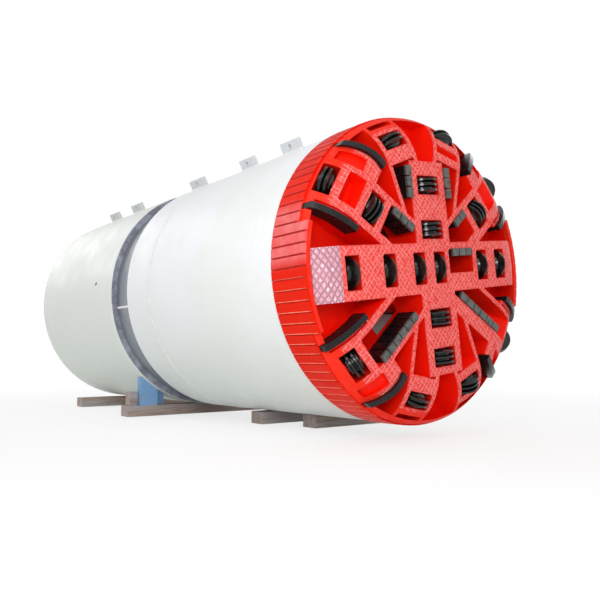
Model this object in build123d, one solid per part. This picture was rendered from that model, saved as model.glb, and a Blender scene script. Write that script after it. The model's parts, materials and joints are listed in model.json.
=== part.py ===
from build123d import *
import os
from math import asin, cos, degrees, radians, sin, sqrt

# Articulated pipe-jacking tunnel boring machine, standing on timber sleepers. Millimetres, +Z up.
# The machine's axis runs along Y and the cutterhead faces -Y. The origin is on the floor under the
# middle of the machine. Stations along the machine are measured from the rear edge of the
# cutterhead's skirt: negative forwards, positive towards the tail. Directions of the head's spokes
# and arms are in degrees, anticlockwise seen from the front, from the right end of the level spoke.

# driving sizes
shield_radius = 1570.0
sleeper_height = 150.0
seat_gap = 0.3  # between faces that lie together on different bodies
overshoot = 1.0  # how far a cut runs past the face it opens

# shields
head_gap = 8.0  # running gap between skirt and front shield
front_length = 2575.0  # front shield, from the skirt's rear edge to the weld of its tail section
tail_length = 625.0
band_length = 511.0  # of the bare band between the shields
rear_length = 2833.0
skin_thickness = 40.0
tail_thickness = 30.0

# cutterhead
head_clock = 7.3  # how far the head stands turned, anticlockwise seen from the front
skirt_step = 5.0  # skirt's radius under the shield's
skirt_thickness = 40.0
face_depth = 645.0  # flat face ahead of the skirt's rear edge
edge_width = 435.0  # of the face's rounded edge, from the flat face out to the skirt
edge_slope = 55.5  # of the rounded edge where it meets the skirt, in degrees
arm_back = 267.0  # back faces of spokes and arms, ahead of the skirt's rear edge
back_plate_thickness = 40.0
back_plate_hole_radius = 815.0
mouth_reach = 100.0  # of the skirt's two tongues beside the level spoke, ahead of the face's edge
mouth_angle = 18.75  # from the middle of a tongue to its end
wear_strip_count = 96
wear_strip_thickness = 16.0
wear_strip_joint = 12.0  # open joint between two strips
wear_strip_setback = 48.0  # of a short strip's front end, behind the face's edge
wear_strip_back = 6.0  # gap left at the skirt's rear edge and at the tongues' front edge
flush_angle = 60.0  # up to here, from a tongue's middle anticlockwise, strips reach the face's edge

# spokes
spoke_width = 500.0
spoke_side_plate = 45.0
spoke_front_plate = 40.0
upright_inset = 62.0  # end of the upright spoke, inside the flat face's edge
window_start = 215.0  # window in the level spoke, right of the middle
window_end = 605.0
window_bottom = -66.0
window_top = 183.0

# slanting arms
arm_angle = 36.0  # of the four slanting arms, from the level spoke
arm_width = 470.0
housing_wall = 85.0  # between an arm's pocket and the end of its cutter housing
cell_depth = 190.0  # floor of the closed cells, below the face
cell_floor = 30.0
bow_radius = 497.0  # inner face of the bowed lips
bow_along = 1304.0  # middle of that bow along the arm
bow_offset = 62.0  # and past the arm's middle line, away from the lip
rib_width = 52.0  # raised rib inside a bowed lip
straight_lip_offset = 285.0  # inner face of the straight lips, from the arm's middle line
groove_width = 22.0  # between an arm and the rib of its straight lip
ear_recess = 40.0  # depth of the ears' recesses and grooves
ear_land = 170.0  # full-height part of an ear, at its inner end
ear_lead = 15.0  # an ear's start ahead of its lip's

# short arms
side_arm_angle = 17.5  # from the upright spoke
side_arm_width = 424.0
side_arm_plate = 45.0
side_cross_inset = 462.0  # cross plate of a short arm, inside the skirt
side_cross_plate = 85.0
long_plate_root = 600.0
short_plate_lead = 150.0  # start of the shorter side plate ahead of the cross plate

# disc cutters
cutter_radius = 152.5
cutter_sink = 85.0  # axle below the face
hub_radius = 104.0
hub_end_step = 22.0  # hub's radius over the radius of its end faces
hub_end_taper = 16.0
ring_pitch = 52.0
ring_root_width = 44.0
ring_tip_width = 20.0
narrow_hub_length = 146.0  # with one or two rings
wide_hub_length = 164.0  # with three rings
axle_radius = 46.0
axle_fit = 0.05  # radial running clearance of a hub on its axle
hub_side_gap = 12.0
pocket_end_wall = 40.0  # of the spokes' cutter housings
pocket_clearance = 6.0  # round a disc, in its pocket
pad_length = 233.0
pad_inset = 60.0  # pad's outer end, inside the skirt
pad_proud = 14.0

# scrapers
tooth_joint = 12.0  # between two teeth of a row
tooth_width = 76.0
tooth_height = 235.0
tooth_proud = 22.0
tip_thickness = 26.0
lip_start = 1095.0
lip_width = 60.0
lip_proud = 46.0
lip_depth = 165.0

# drive and bulkhead
hub_drum_radius = 424.0
hub_drum_end = 100.0
journal_radius = 300.0
journal_end = 500.0
bulkhead_station = 60.0
bulkhead_thickness = 50.0
drum_gap = 8.0
drive_radius = 640.0
drive_length = 1190.0
drive_end_gap = 5.0

# articulation
pivot_inset = 130.0  # pivot's centre inside the front shield's rear end
spigot_lead = 120.0  # spigot's front end ahead of the pivot
spigot_seat = 249.0  # spigot's length inside the rear shield
spigot_step = 80.0  # spigot's radius under the shield's
spigot_thickness = 40.0
crown_height = 10.0
crown_half_width = 60.0
seal_half_width = 45.0
front_ring_length = 50.0
front_ring_groove = 8.0

# rear end
tail_socket_cut = 8.0  # taken out of the skin to seat the spigot of the first jacking pipe
tail_socket_depth = 300.0
rear_bulkhead_inset = 744.0  # ahead of the rear end
rear_bulkhead_thickness = 40.0
door_width = 640.0
door_height = 900.0
door_thickness = 24.0
door_overlap = 40.0  # of the leaf on each side of its opening
door_low = 480.0  # lower edge of the door, above the lowest line of the shield
hinge_spacing = 600.0
door_pin_radius = 12.0
door_pin_gap = 26.0  # pin's centre outside the leaf's edge
door_knuckle_radius = 20.0
door_knuckle_length = 90.0
door_knuckle_gap = 3.0  # between a knuckle and the bulkhead
door_strap_bite = 2.0  # of a strap into its knuckle
door_ear_gap = 2.0  # between a knuckle's end and the ear beside it
door_ear_length = 70.0
pipe_radius = 110.0
pipe_wall = 10.0
pipe_flange_radius = 170.0
pipe_flange_thickness = 24.0
pipe_stub_length = 260.0
pipe_spread = 1660.0
pipe_height = 560.0  # above the axis
flange_bolt_circle = 295.0
flange_bolt_count = 8
flange_bolt_radius = 11.0
port_radius = 24.0
port_inset = 567.0  # behind the rear shield's front end
port_angle = 174.4

# lifting lugs
lug_angle = 28.0  # from the crown line, on both sides
lug_height = 122.0
lug_thickness = 60.0
lug_foot = 40.0  # of a lug's blank below the shield's radius, cut to the round
lug_corner = 12.0
lug_hole_radius = 26.0
lug_hole_height = 66.0  # of the hole's centre above the shield

# supports
sleeper_width = 240.0

# worked out
skirt_radius = shield_radius - skirt_step
skirt_inside = skirt_radius - skirt_thickness
face_flat_radius = skirt_radius - edge_width
edge_arc = edge_width / sin(radians(edge_slope))  # radius that rounds the face down to the skirt
axis_height = sleeper_height + shield_radius
skin_inside = shield_radius - skin_thickness
tail_inside = shield_radius - tail_thickness
front_end_station = front_length + tail_length
rear_start_station = front_end_station + band_length
rear_end_station = rear_start_station + rear_length
pivot_station = front_end_station - pivot_inset
spigot_start = pivot_station - spigot_lead
spigot_end = rear_start_station + spigot_seat
spigot_radius = shield_radius - spigot_step
rear_bulkhead_station = rear_end_station - rear_bulkhead_inset
tail_socket_radius = skin_inside + tail_socket_cut
port_station = rear_start_station + port_inset
nose = face_depth + cutter_radius - cutter_sink
whole_length = nose + rear_end_station
head_y = nose - whole_length / 2  # world Y of station 0
upright_reach = face_flat_radius - upright_inset
pad_end = skirt_radius - pad_inset
pad_start = pad_end - pad_length
bulkhead_back = bulkhead_station + bulkhead_thickness
rear_bulkhead_back = rear_bulkhead_station + rear_bulkhead_thickness
pipe_end = rear_bulkhead_back + pipe_stub_length
half_spoke = spoke_width / 2
half_arm = arm_width / 2
half_side = side_arm_width / 2
front_limit = -face_depth - cutter_radius  # ahead of all that the head carries

nodes = {}


def keep(name, shape):
    """Puts a shape given in stations about the machine's axis in its place on the floor."""
    nodes[name] = Pos(0, head_y, axis_height) * shape


def keepHead(name, shape):
    """The same for a piece of the cutterhead, which stands turned about the axis."""
    keep(name, Rot(0, -head_clock, 0) * shape)


def turned(outline, arc=360.0):
    """Solid of revolution about Y from a closed outline of (radius, station) points.
    An entry of three values after a point is the middle of an arc to the next point."""
    edges = []
    steps = list(outline) + [outline[0]]
    for i, here in enumerate(steps[:-1]):
        if len(here) == 3:
            continue
        after = steps[i + 1]
        if len(after) == 3:
            edges.append(ThreePointArc(here, after[:2], steps[i + 2]))
        else:
            edges.append(Line(here, after))
    return revolve(Face(Wire(edges)), Axis.Y, arc)


def tube(outer, inner, start, end):
    return turned([(inner, start), (outer, start), (outer, end), (inner, end)])


def sector(outer, inner, start, end, middle, half):
    """Part of a tube, half degrees to each side of a direction."""
    part = turned([(inner, start), (outer, start), (outer, end), (inner, end)], 2 * half)
    return Rot(0, -middle - half, 0) * part


def disc(radius, start, end):
    return turned([(0, start), (radius, start), (radius, end), (0, end)])


def armBox(angle, start, end, low, high, front, back):
    """Box along a radial direction: start..end outwards, low..high across it, front..back stations."""
    box = Box(end - start, back - front, high - low)
    return Rot(0, -angle, 0) * Pos((start + end) / 2, (front + back) / 2, (low + high) / 2) * box


# face of the head
def faceSlope(radius):
    """Slope of the face in degrees where its surface is this far from the axis."""
    if radius <= face_flat_radius:
        return 0.0
    return degrees(asin((radius - face_flat_radius) / edge_arc))


def faceStation(radius):
    return -face_depth + edge_arc * (1 - cos(radians(faceSlope(radius))))


def dished(proud, back, radius):
    """The head's full dished volume, its face moved forward by proud, out to a radius."""
    arc = edge_arc + proud
    end_slope = asin((radius - face_flat_radius) / arc)
    front = -face_depth - proud
    centre = -face_depth + edge_arc
    middle = (face_flat_radius + arc * sin(end_slope / 2), centre - arc * cos(end_slope / 2), 0)
    corner = (radius, centre - arc * cos(end_slope))
    return turned([(0, back), (0, front), (face_flat_radius, front), middle, corner, (radius, back)])


face_body = dished(0, -arm_back, skirt_inside)
recess_floor = dished(-ear_recess, -arm_back, skirt_inside)
edge_station = faceStation(skirt_radius)

# disc cutters
# name, direction of its arm, distance of its track from the axis, its rings
cutter_table = [
    ("level_1", 180, pad_start - 138, "o"),
    ("level_2", 180, 656, "o"),
    ("level_3", 180, 236, "o"),
    ("level_4", 0, 68, "o"),
    ("level_5", 0, 755, "o"),
    ("level_6", 0, 1074, "o"),
    ("upright_1", 90, upright_reach - 240, "ooo"),
    ("upright_2", 90, 383, "ooo"),
    ("upright_3", 270, 505, "ooo"),
    ("upright_4", 270, upright_reach - 172, "ooo"),
    ("slant_1", 180 - arm_angle, 997, "ooo"),
    ("slant_2", arm_angle, 943, "ooo"),
    ("gauge_2", 180 - arm_angle, skirt_radius - 62, "oo"),
    ("gauge_3", arm_angle, skirt_radius - 65, "oo"),
    ("gauge_4", 180 + arm_angle, skirt_radius - 145, "oo"),
    ("gauge_5", 360 - arm_angle, skirt_radius - 62, "oo"),
    ("gauge_6", 90 + side_arm_angle, skirt_radius - 232, "oo"),
    ("gauge_7", 90 - side_arm_angle, skirt_radius - 135, "oo"),
    ("gauge_8", 270 - side_arm_angle, skirt_radius - 224, "oo"),
    ("gauge_9", 270 + side_arm_angle, skirt_radius - 282, "ooo"),
]
pocket_across = 2 * (cutter_radius + pocket_clearance)


def hubLength(rings):
    return wide_hub_length if len(rings) == 3 else narrow_hub_length


def pocketLength(rings):
    return hubLength(rings) + 2 * hub_side_gap


def atCutter(angle, radius):
    """Frame of a cutter: X along its axle, -Y out of the face."""
    slope = faceSlope(radius)
    centre_r = radius - cutter_sink * sin(radians(slope))
    centre_y = faceStation(radius) + cutter_sink * cos(radians(slope))
    return Rot(0, -angle, 0) * Pos(centre_r, centre_y, 0) * Rot(0, 0, slope)


def cutterShape(rings):
    """Hub with its hardened rings, bored for its axle. Its axis is X."""
    half = hubLength(rings) / 2
    end_radius = hub_radius - hub_end_step
    bore = axle_radius + axle_fit
    outline = [(-half, bore), (-half, end_radius), (-half + hub_end_taper, hub_radius)]
    for i in range(len(rings)):
        middle = (i - (len(rings) - 1) / 2) * ring_pitch
        outline += [
            (middle - ring_root_width / 2, hub_radius),
            (middle - ring_tip_width / 2, cutter_radius),
            (middle + ring_tip_width / 2, cutter_radius),
            (middle + ring_root_width / 2, hub_radius),
        ]
    outline += [(half - hub_end_taper, hub_radius), (half, end_radius), (half, bore)]
    return revolve(Face(Wire(Polyline(*outline, close=True).edges())), Axis.X)


def cutterBlock(rings, wall, width, back):
    """Block about a cutter, in its frame, from well ahead of the face to a depth behind the axle."""
    front = 2 * cutter_radius
    block = Box(pocketLength(rings) + 2 * wall, front + back, width)
    return Pos(0, (back - front) / 2, 0) * block


for name, angle, radius, rings in cutter_table:
    keepHead("cutter_" + name, atCutter(angle, radius) * cutterShape(rings))


def withPockets(solid, rows):
    """Cuts the cutters' pockets and sets the fixed axles in them."""
    for name, angle, radius, rings in rows:
        place = atCutter(angle, radius)
        solid = solid - place * cutterBlock(rings, 0, pocket_across, pocket_across / 2)
        solid = solid + place * Rot(0, 90, 0) * Cylinder(axle_radius, pocketLength(rings))
    return solid


def cuttersOn(*angles):
    return [row for row in cutter_table if row[1] in angles]


# spokes
level_prism = armBox(0, -skirt_radius, skirt_radius, -half_spoke, half_spoke, front_limit, 0)
upright_prism = armBox(90, -upright_reach, upright_reach, -half_spoke, half_spoke, front_limit, 0)


def bays(solid, angle, reach):
    """Hollows a box spoke from behind between its cutter housings, behind the front plate."""
    stops = []
    for name, row_angle, radius, rings in cuttersOn(angle):
        half = pocketLength(rings) / 2 + pocket_end_wall
        stops.append((radius - half, radius + half))
    stops.sort()
    starts = [hub_drum_radius] + [max(end, hub_drum_radius) for start, end in stops]
    ends = [start for start, end in stops] + [reach]
    inside = half_spoke - spoke_side_plate
    for start, end in zip(starts, ends):
        if end - start > 2 * spoke_side_plate:
            front = max(faceStation(start), faceStation(end)) + spoke_front_plate
            solid = solid - armBox(angle, start, end, -inside, inside, front, overshoot - arm_back)
    return solid


# level spoke, right through from rim to rim
level = face_body & level_prism
for side in (0, 180):
    level = bays(level, side, pad_start)
window = armBox(0, window_start, window_end, window_bottom, window_top, front_limit, overshoot - arm_back)
keepHead("spoke_level", withPockets(level - window, cuttersOn(0, 180)))

# upright spoke, in two halves that butt on the level one
for name, side in (("spoke_upper", 90), ("spoke_lower", 270)):
    half = armBox(side, half_spoke, upright_reach, -half_spoke, half_spoke, -face_depth, -arm_back)
    half = bays(half, side, upright_reach - spoke_side_plate)
    keepHead(name, withPockets(half, cuttersOn(side)))

# slanting box arms: two side plates, a housing for each cutter, and an ear at each side that carries
# the gauge lips. Low and high are the sides clockwise and anticlockwise of the arm's direction.
# name, direction, low plate, high plate, side of the upright spoke (+1 high), has a closed cell
arm_table = [
    ("arm_upper_left", 180 - arm_angle, 55.0, 85.0, -1, True),
    ("arm_upper_right", arm_angle, 120.0, 55.0, 1, True),
    ("arm_lower_left", 180 + arm_angle, 70.0, 60.0, 1, False),
    ("arm_lower_right", 360 - arm_angle, 150.0, 50.0, -1, False),
]

# teeth stand in rows on the side of a plate
# direction of the plate, offset of the plate's face, side the teeth stand on, start, end, teeth
row_table = [
    (90, half_spoke, 1, 700, upright_reach - 44, 3),
    (90, -half_spoke, -1, 700, upright_reach - 44, 3),
    (180 - arm_angle, arm_table[0][2] - half_arm, 1, 470, 794, 3),
    (arm_angle, half_arm - arm_table[1][3], -1, 545, 761, 2),
    (180 + arm_angle, half_arm - arm_table[2][3], -1, 560, 1208, 6),
    (360 - arm_angle, arm_table[3][2] - half_arm, 1, 440, 1156, 6),
    (0, window_top, -1, window_start + 47, window_end - 17, 3),
]
bodies = []
tips = []
for angle, offset, way, start, end, count in row_table:
    pitch = (end - start) / count
    low, high = sorted((offset, offset + way * tooth_width))
    front = -face_depth - tooth_proud
    seat = front + tip_thickness
    for i in range(count):
        first = start + i * pitch
        last = first + pitch - tooth_joint
        bodies.append(armBox(angle, first, last, low, high, seat, front + tooth_height))
        tips.append(armBox(angle, first, last, low, high, front, seat))
keepHead("scraper_bodies", Compound(children=bodies))
keepHead("scraper_tips", Compound(children=tips))


def acrossBox(start, way, near, far):
    """Box in an arm's own frame from start to the skirt, near..far from its middle line on one side."""
    low, high = sorted((way * near, way * far))
    return armBox(0, start, skirt_radius, low, high, front_limit, -arm_back)


# arms with their lips: a bowed one on the side of the upright spoke, a straight one on the other
lip_ring = dished(lip_proud, -arm_back, skirt_radius)
lip_ring = lip_ring - Pos(0, lip_depth, 0) * dished(lip_proud, 0, skirt_radius + overshoot)
lip_outside = straight_lip_offset + lip_width
ear_start = lip_start - ear_lead
deep_start = ear_start + ear_land
lips = []
arm_prisms = []
for name, angle, low_plate, high_plate, way, cell in arm_table:
    turn = Rot(0, -angle, 0)
    bow = Pos(bow_along, 0, -way * bow_offset)
    bowed = bow * tube(bow_radius + lip_width, bow_radius, front_limit, -arm_back)
    bowed = bowed & acrossBox(lip_start, way, half_arm, 2 * bow_radius)
    straight = acrossBox(lip_start, -way, straight_lip_offset, lip_outside)
    for lip in (bowed, straight):
        lips.append(turn * lip & lip_ring)

    ear = bow * disc(bow_radius, front_limit, -arm_back) & acrossBox(ear_start, way, half_arm, bow_radius)
    recess = bow * disc(bow_radius - rib_width, front_limit, -arm_back)
    recess = recess & acrossBox(deep_start, way, half_arm, bow_radius)
    rib = acrossBox(ear_start, -way, half_arm, straight_lip_offset)
    groove = acrossBox(lip_start, -way, half_arm, half_arm + groove_width)
    ears = ear + rib - (recess - recess_floor) - (groove - recess_floor)

    arm = armBox(angle, 0, skirt_radius, -half_arm, low_plate - half_arm, front_limit, -arm_back)
    arm = arm + armBox(angle, 0, skirt_radius, half_arm - high_plate, half_arm, front_limit, -arm_back)
    rows = cuttersOn(angle)
    for cutter, axis, radius, rings in rows:
        arm = arm + atCutter(angle, radius) * cutterBlock(rings, housing_wall, arm_width, face_depth)
    if cell:
        floor_front = -face_depth + cell_depth
        floor_back = floor_front + cell_floor
        arm = arm + armBox(angle, rows[0][2], rows[1][2], -half_arm, half_arm, floor_front, floor_back)
    arm = ((arm + turn * ears) & face_body) - level_prism - upright_prism
    for body in bodies:
        arm = arm - body
    keepHead(name, withPockets(arm, rows))
    arm_prisms.append(armBox(angle, 0, skirt_radius, -half_arm, half_arm, front_limit, 0))
keepHead("gauge_lips", Compound(children=lips))

# short arms between the slanting ones and the upright spoke
# name, direction, which way its long plate lies (+1 anticlockwise of it)
side_arm_table = [
    ("side_arm_upper_left", 90 + side_arm_angle, 1),
    ("side_arm_upper_right", 90 - side_arm_angle, -1),
    ("side_arm_lower_left", 270 - side_arm_angle, -1),
    ("side_arm_lower_right", 270 + side_arm_angle, 1),
]
side_inside = half_side - side_arm_plate
cross_start = skirt_radius - side_cross_inset
for name, angle, way in side_arm_table:
    roots = (cross_start - short_plate_lead, long_plate_root)
    low_root, high_root = roots if way > 0 else reversed(roots)
    arm = armBox(angle, low_root, skirt_radius, -half_side, -side_inside, front_limit, -arm_back)
    arm = arm + armBox(angle, high_root, skirt_radius, side_inside, half_side, front_limit, -arm_back)
    end = cross_start + side_cross_plate
    arm = arm + armBox(angle, cross_start, end, -half_side, half_side, front_limit, -arm_back)
    rows = cuttersOn(angle)
    for cutter, axis, radius, rings in rows:
        arm = arm + atCutter(angle, radius) * cutterBlock(rings, housing_wall, side_arm_width, face_depth)
    arm = (arm & face_body) - level_prism - upright_prism
    for prism in arm_prisms:
        arm = arm - prism
    keepHead(name, withPockets(arm, rows))

# hard-faced pad on the left end of the level spoke
pad = armBox(180, pad_start, pad_end, -half_spoke, half_spoke, front_limit, -arm_back)
keepHead("hardfaced_pad", (pad & dished(pad_proud, -arm_back, skirt_inside)) - face_body)

# rim with a tongue at each end of the level spoke, and the back plate
rim_middle = (skirt_radius + skirt_inside) / 2
rim = turned([
    (skirt_inside, faceStation(skirt_inside)),
    (rim_middle, faceStation(rim_middle), 0),
    (skirt_radius, edge_station),
    (skirt_radius, 0),
    (skirt_inside, 0),
])
plate_back = back_plate_thickness - arm_back
plate = tube(skirt_inside, back_plate_hole_radius, -arm_back, plate_back)
for side in (0, 180):
    rim = rim + sector(skirt_radius, skirt_inside, edge_station - mouth_reach, plate_back, side, mouth_angle)
for name, angle, radius, rings in cutter_table:
    pocket = atCutter(angle, radius) * cutterBlock(rings, 0, pocket_across, pocket_across / 2)
    rim = rim - pocket
    plate = plate - pocket
for lip in lips:
    rim = rim - lip
keepHead("rim", rim)
keepHead("back_plate", plate)

# wear strips: long ones on the tongues, longer ones for a stretch beside them
strip_turn = 360.0 / wear_strip_count
half_strip = strip_turn / 2 - degrees(wear_strip_joint / 2 / skirt_radius)
strips = []
for i in range(wear_strip_count):
    middle = (i + 0.5) * strip_turn
    from_tongue = middle % 180
    if min(from_tongue, 180 - from_tongue) < mouth_angle:
        front = edge_station - mouth_reach + wear_strip_back
    elif from_tongue < flush_angle:
        front = edge_station
    else:
        front = edge_station + wear_strip_setback
    outer = skirt_radius + wear_strip_thickness
    strips.append(sector(outer, skirt_radius, front, -wear_strip_back, middle, half_strip))
keepHead("wear_strips", Compound(children=strips))

hub = disc(hub_drum_radius, -arm_back, hub_drum_end)
hub = hub + disc(journal_radius, hub_drum_end, journal_end)
keepHead("drive_hub", hub)

# front shield
keep("front_skin", tube(shield_radius, skin_inside, head_gap, front_length))
keep("front_tail", tube(shield_radius, tail_inside, front_length, front_end_station))
keep("bulkhead", tube(skin_inside, hub_drum_radius + drum_gap, bulkhead_station, bulkhead_back))
drive = disc(drive_radius, bulkhead_back, bulkhead_back + drive_length)
journal_bore = disc(journal_radius + axle_fit, bulkhead_back - overshoot, journal_end + drive_end_gap)
keep("main_drive", drive - journal_bore)

# lifting lugs in pairs beside the crown line: node, station of the lug's middle, length
lug_table = [
    ("front_lugs", 735.0, 300.0),
    ("front_lugs", 1578.0, 270.0),
    ("front_lugs", front_length + 203, 330.0),
    ("rear_lugs", rear_start_station + 952, 310.0),
    ("rear_lugs", rear_start_station + 1800, 290.0),
]
lug_nodes = {}
for name, station, length in lug_table:
    for side in (-1, 1):
        lug = Box(lug_thickness, length, lug_height + lug_foot)
        lug = Pos(0, station, shield_radius + (lug_height - lug_foot) / 2) * lug
        lug = fillet(lug.edges().filter_by(Axis.X).group_by(Axis.Z)[-1], lug_corner)
        eye = Pos(0, station, shield_radius + lug_hole_height) * Rot(0, 90, 0)
        lug = lug - eye * Cylinder(lug_hole_radius, 2 * lug_thickness)
        lug = Rot(0, side * lug_angle, 0) * lug
        lug = lug - disc(shield_radius, station - length, station + length)
        lug_nodes.setdefault(name, []).append(lug)
for name, lugs in lug_nodes.items():
    keep(name, Compound(children=lugs))

# articulation
crown_radius = spigot_radius + crown_height
seal_edge = sqrt((tail_inside - seat_gap) ** 2 - seal_half_width**2)
seal_bore = crown_radius + seat_gap
keep("seal_ring", turned([
    (seal_bore, pivot_station - seal_half_width),
    (seal_edge, pivot_station - seal_half_width),
    (tail_inside - seat_gap, pivot_station, 0),
    (seal_edge, pivot_station + seal_half_width),
    (seal_bore, pivot_station + seal_half_width),
]))

spigot_inside = spigot_radius - spigot_thickness
crown_edge = sqrt(crown_radius**2 - crown_half_width**2)
keep("steering_spigot", turned([
    (spigot_inside, spigot_start),
    (spigot_radius, spigot_start),
    (spigot_radius, pivot_station - crown_half_width),
    (crown_edge, pivot_station - crown_half_width),
    (crown_radius, pivot_station, 0),
    (crown_edge, pivot_station + crown_half_width),
    (spigot_radius, pivot_station + crown_half_width),
    (spigot_radius, spigot_end),
    (spigot_inside, spigot_end),
]))

ring_end = rear_start_station + front_ring_length
ring_middle = rear_start_station + front_ring_length / 2
keep("rear_front_ring", turned([
    (spigot_radius, rear_start_station),
    (shield_radius - front_ring_groove, rear_start_station),
    (shield_radius, rear_start_station + front_ring_groove),
    (shield_radius, ring_middle),
    (shield_radius - front_ring_groove, ring_middle),
    (shield_radius - front_ring_groove, ring_middle + front_ring_groove),
    (shield_radius, ring_middle + front_ring_groove),
    (shield_radius, ring_end),
    (spigot_radius, ring_end),
]))

# rear shield
rear_skin = tube(shield_radius, skin_inside, ring_end, rear_end_station)
socket = disc(tail_socket_radius, rear_end_station - tail_socket_depth, rear_end_station + overshoot)
rear_skin = rear_skin - socket
for angle in (port_angle, 180 - port_angle):
    port = Rot(0, -angle, 0) * Pos(shield_radius, port_station, 0) * Rot(0, 90, 0)
    rear_skin = rear_skin - port * Cylinder(port_radius, 4 * skin_thickness)
keep("rear_skin", rear_skin)

door_middle = -shield_radius + door_low + door_height / 2
rear_bulkhead = disc(skin_inside, rear_bulkhead_station, rear_bulkhead_back)
opening = Box(door_width - 2 * door_overlap, 3 * rear_bulkhead_thickness, door_height - 2 * door_overlap)
rear_bulkhead = rear_bulkhead - Pos(0, rear_bulkhead_station, door_middle) * opening
for name, side in (("slurry_pipe_left", -1), ("slurry_pipe_right", 1)):
    at = Pos(side * pipe_spread / 2, 0, pipe_height)
    rear_bulkhead = rear_bulkhead - at * disc(pipe_radius, rear_bulkhead_station - overshoot, pipe_end)
    stub = at * tube(pipe_radius, pipe_radius - pipe_wall, rear_bulkhead_station, pipe_end)
    flange = at * tube(pipe_flange_radius, pipe_radius, pipe_end - pipe_flange_thickness, pipe_end)
    for i in range(flange_bolt_count):
        turn = (i + 0.5) * 360 / flange_bolt_count
        hole = Rot(0, turn, 0) * Pos(flange_bolt_circle / 2, pipe_end, 0) * Rot(90, 0, 0)
        flange = flange - at * hole * Cylinder(flange_bolt_radius, 4 * pipe_flange_thickness)
    keep(name, stub + flange)
keep("rear_bulkhead", rear_bulkhead)

# door leaf on two pins, each held between the bulkhead's brackets
pin_x = -door_width / 2 - door_pin_gap
pin_y = rear_bulkhead_back + door_knuckle_radius + door_knuckle_gap
leaf_middle = rear_bulkhead_back + seat_gap + door_thickness / 2
leaf = Pos(0, leaf_middle, door_middle) * Box(door_width, door_thickness, door_height)
strap = Box(2 * door_pin_gap, door_thickness, door_knuckle_length)
strap = Pos(door_pin_gap, leaf_middle - pin_y, 0) * strap
strap = strap - Cylinder(door_knuckle_radius - door_strap_bite, door_knuckle_length)
knuckle = Cylinder(door_knuckle_radius, door_knuckle_length)
knuckle = knuckle - Cylinder(door_pin_radius + axle_fit, door_knuckle_length) + strap
ear_offset = (door_knuckle_length + door_ear_length) / 2 + door_ear_gap
ear_depth = pin_y - rear_bulkhead_back
brackets = []
for z in (door_middle - hinge_spacing / 2, door_middle + hinge_spacing / 2):
    leaf = leaf + Pos(pin_x, pin_y, z) * knuckle
    pin = Pos(pin_x, pin_y, z) * Cylinder(door_pin_radius, 2 * ear_offset)
    for end in (-1, 1):
        ear = Pos(0, -ear_depth / 2, 0) * Box(2 * door_knuckle_radius, ear_depth, door_ear_length)
        ear = ear + Cylinder(door_knuckle_radius, door_ear_length)
        pin = pin + Pos(pin_x, pin_y, z + end * ear_offset) * ear
    brackets.append(pin)
keep("access_door", leaf)
keep("door_brackets", Compound(children=brackets))

# sleepers: name, station of the middle, left end, right end
ground = -shield_radius - sleeper_height
sleeper_table = [
    ("sleeper_nose", 1180.0, -150.0, 1350.0),
    ("sleeper_front", 1960.0, -361.0, 1350.0),
    ("sleeper_middle", rear_start_station + 219, -1240.0, 1180.0),
    ("sleeper_rear", rear_end_station - 364, -1047.0, 1120.0),
]
for name, station, left, right in sleeper_table:
    sleeper = Box(right - left, sleeper_width, sleeper_height)
    keep(name, Pos((left + right) / 2, station, ground + sleeper_height / 2) * sleeper)

# wedges and a packing block on the middle sleeper, cut to the round of the shield
# node, outer end, inner end (both left of the middle), height, station of the middle, length
block_table = [
    ("chocks", 1060.0, 800.0, 400.0, rear_start_station + 151, 110.0),
    ("chocks", 930.0, 640.0, 250.0, rear_start_station + 274, 90.0),
    ("packing_block", 1190.0, 1075.0, 190.0, rear_start_station + 239, 150.0),
]
flank = disc(shield_radius, rear_start_station, rear_end_station)
block_nodes = {}
for name, outer, inner, height, station, length in block_table:
    block = Box(outer - inner, length, height)
    block = Pos(-(outer + inner) / 2, station, -shield_radius + height / 2) * block
    block_nodes.setdefault(name, []).append(block - flank)
for name, blocks in block_nodes.items():
    keep(name, Compound(children=blocks))

os.makedirs("parts", exist_ok=True)
for name, shape in nodes.items():
    export_step(shape, "parts/" + name + ".step")
print(len(nodes), "nodes")
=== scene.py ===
import json
import math
import random

import bpy
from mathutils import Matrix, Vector
from mathutils.bvhtree import BVHTree


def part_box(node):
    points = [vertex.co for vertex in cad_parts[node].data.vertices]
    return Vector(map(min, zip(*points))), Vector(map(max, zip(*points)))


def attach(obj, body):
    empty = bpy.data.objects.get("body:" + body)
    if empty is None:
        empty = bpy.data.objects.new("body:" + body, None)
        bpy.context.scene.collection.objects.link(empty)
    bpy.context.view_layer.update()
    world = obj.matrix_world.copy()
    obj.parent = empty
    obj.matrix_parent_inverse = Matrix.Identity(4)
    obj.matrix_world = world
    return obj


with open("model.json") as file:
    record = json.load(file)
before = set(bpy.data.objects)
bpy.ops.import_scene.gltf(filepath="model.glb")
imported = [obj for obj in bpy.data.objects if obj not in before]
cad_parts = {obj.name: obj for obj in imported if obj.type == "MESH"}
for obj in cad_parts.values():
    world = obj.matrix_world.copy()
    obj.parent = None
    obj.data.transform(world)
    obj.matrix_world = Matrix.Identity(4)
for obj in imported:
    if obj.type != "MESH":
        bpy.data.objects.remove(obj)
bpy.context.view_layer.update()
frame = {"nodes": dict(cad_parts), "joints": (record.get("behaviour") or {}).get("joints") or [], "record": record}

# the machine's own measures, read off the frame (metres)
joints = {joint["name"]: joint for joint in frame["joints"]}
mounts = {mount["name"]: mount for mount in frame["record"]["mounts"]}
skinLow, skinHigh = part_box("front_skin")
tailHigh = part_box("front_tail")[1]
ringLow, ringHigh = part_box("rear_front_ring")
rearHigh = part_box("rear_skin")[1]
shieldRadius = (skinHigh.x - skinLow.x) / 2
axisHeight = (skinHigh.z + skinLow.z) / 2
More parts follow.
